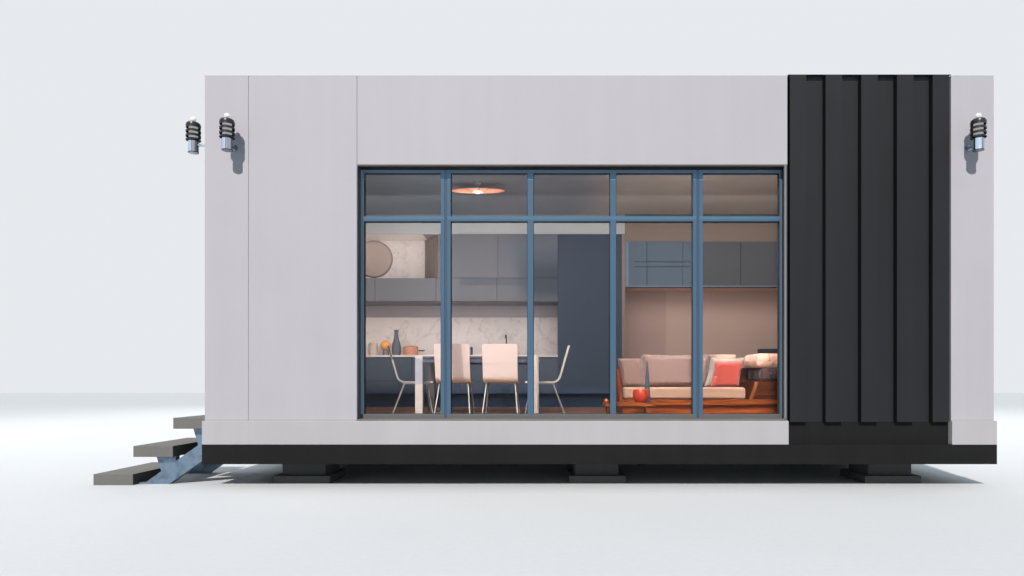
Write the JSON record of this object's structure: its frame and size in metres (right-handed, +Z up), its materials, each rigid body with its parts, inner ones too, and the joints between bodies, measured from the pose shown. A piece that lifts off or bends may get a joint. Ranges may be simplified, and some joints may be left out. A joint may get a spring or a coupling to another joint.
{
  "type": "shipping container cabin",
  "caption": "Flat-roofed container cabin with white panels, a wide blue-framed window, a dark ribbed bay, end steps and a fitted living room behind the glass.",
  "frame": {"origin": "middle of the whole part's box in plan, at ground level", "axes": "+X along the length, towards the ribbed bay; +Y from the glazed front to the rear; +Z up"},
  "size_m": [7.007, 2.6268, 3.171],
  "materials": {
    "white_panel": "satin",
    "dark_steel": "satin",
    "concrete": "matte",
    "galvanised_steel": "satin",
    "insulated_core": "matte",
    "oak_floor": "satin",
    "blue_frame": "satin",
    "navy_trim": "satin",
    "clear_glass": "gloss",
    "door_paint": "satin",
    "steel_fittings": "satin",
    "lamp_black": "satin",
    "opal_glass": "gloss",
    "unit_grey": "satin",
    "bulkhead_grey": "matte",
    "pale_worktop": "satin",
    "earthenware": "matte",
    "copper_shade": "satin",
    "white_lacquer": "satin",
    "pale_shell": "satin",
    "chair_steel": "satin",
    "red_timber": "satin",
    "rose_fabric": "matte",
    "coral_fabric": "matte",
    "red_glaze": "gloss"
  },
  "bodies": {
    "root": {"front_panels": "white_panel", "rear_panels": "white_panel", "left_end_panels": "white_panel", "right_end_panels": "white_panel", "white_plinth": "white_panel", "wall_capping": "white_panel", "window_sill": "white_panel", "ribbed_sheets": "dark_steel", "dark_plinth": "dark_steel", "base_side_rails": "dark_steel", "base_end_rails": "dark_steel", "base_cross_members": "dark_steel", "footing_pads": "concrete", "step_treads": "concrete", "step_stringers": "galvanised_steel", "roof_sheet": "galvanised_steel", "front_wall_left": "insulated_core", "front_wall_lintel": "insulated_core", "front_wall_right": "insulated_core", "left_end_wall": "insulated_core", "left_wall_over_door": "insulated_core", "right_end_wall": "insulated_core", "rear_wall": "insulated_core", "floor_cassette": "insulated_core", "roof_deck": "insulated_core", "ceiling": "insulated_core", "floor_finish": "oak_floor", "window_frames": "blue_frame", "door_frame": "blue_frame", "window_couplings": "navy_trim", "window_reveal": "navy_trim", "window_glass": "clear_glass", "door_leaf": "door_paint", "door_fittings": "steel_fittings", "lamp_tubes": "steel_fittings", "lamp_louvres": "lamp_black", "lamp_glasses": "opal_glass", "kitchen_units": "unit_grey", "kitchen_upper_units": "unit_grey", "glazed_wall_units": "unit_grey", "wall_shelf": "unit_grey", "kitchen_bulkhead": "bulkhead_grey", "kitchen_worktop": "pale_worktop", "kitchen_wall_panel": "pale_worktop", "kitchen_ware": "earthenware", "pendant_lamp": "copper_shade", "dining_table": "white_lacquer", "chair_shells": "pale_shell", "chair_legs": "chair_steel", "sofa_frame": "red_timber", "low_table": "red_timber", "sofa_cushions": "rose_fabric", "sofa_pillows": "coral_fabric", "bowl_and_vase": "red_glaze"}
  },
  "joints": []
}
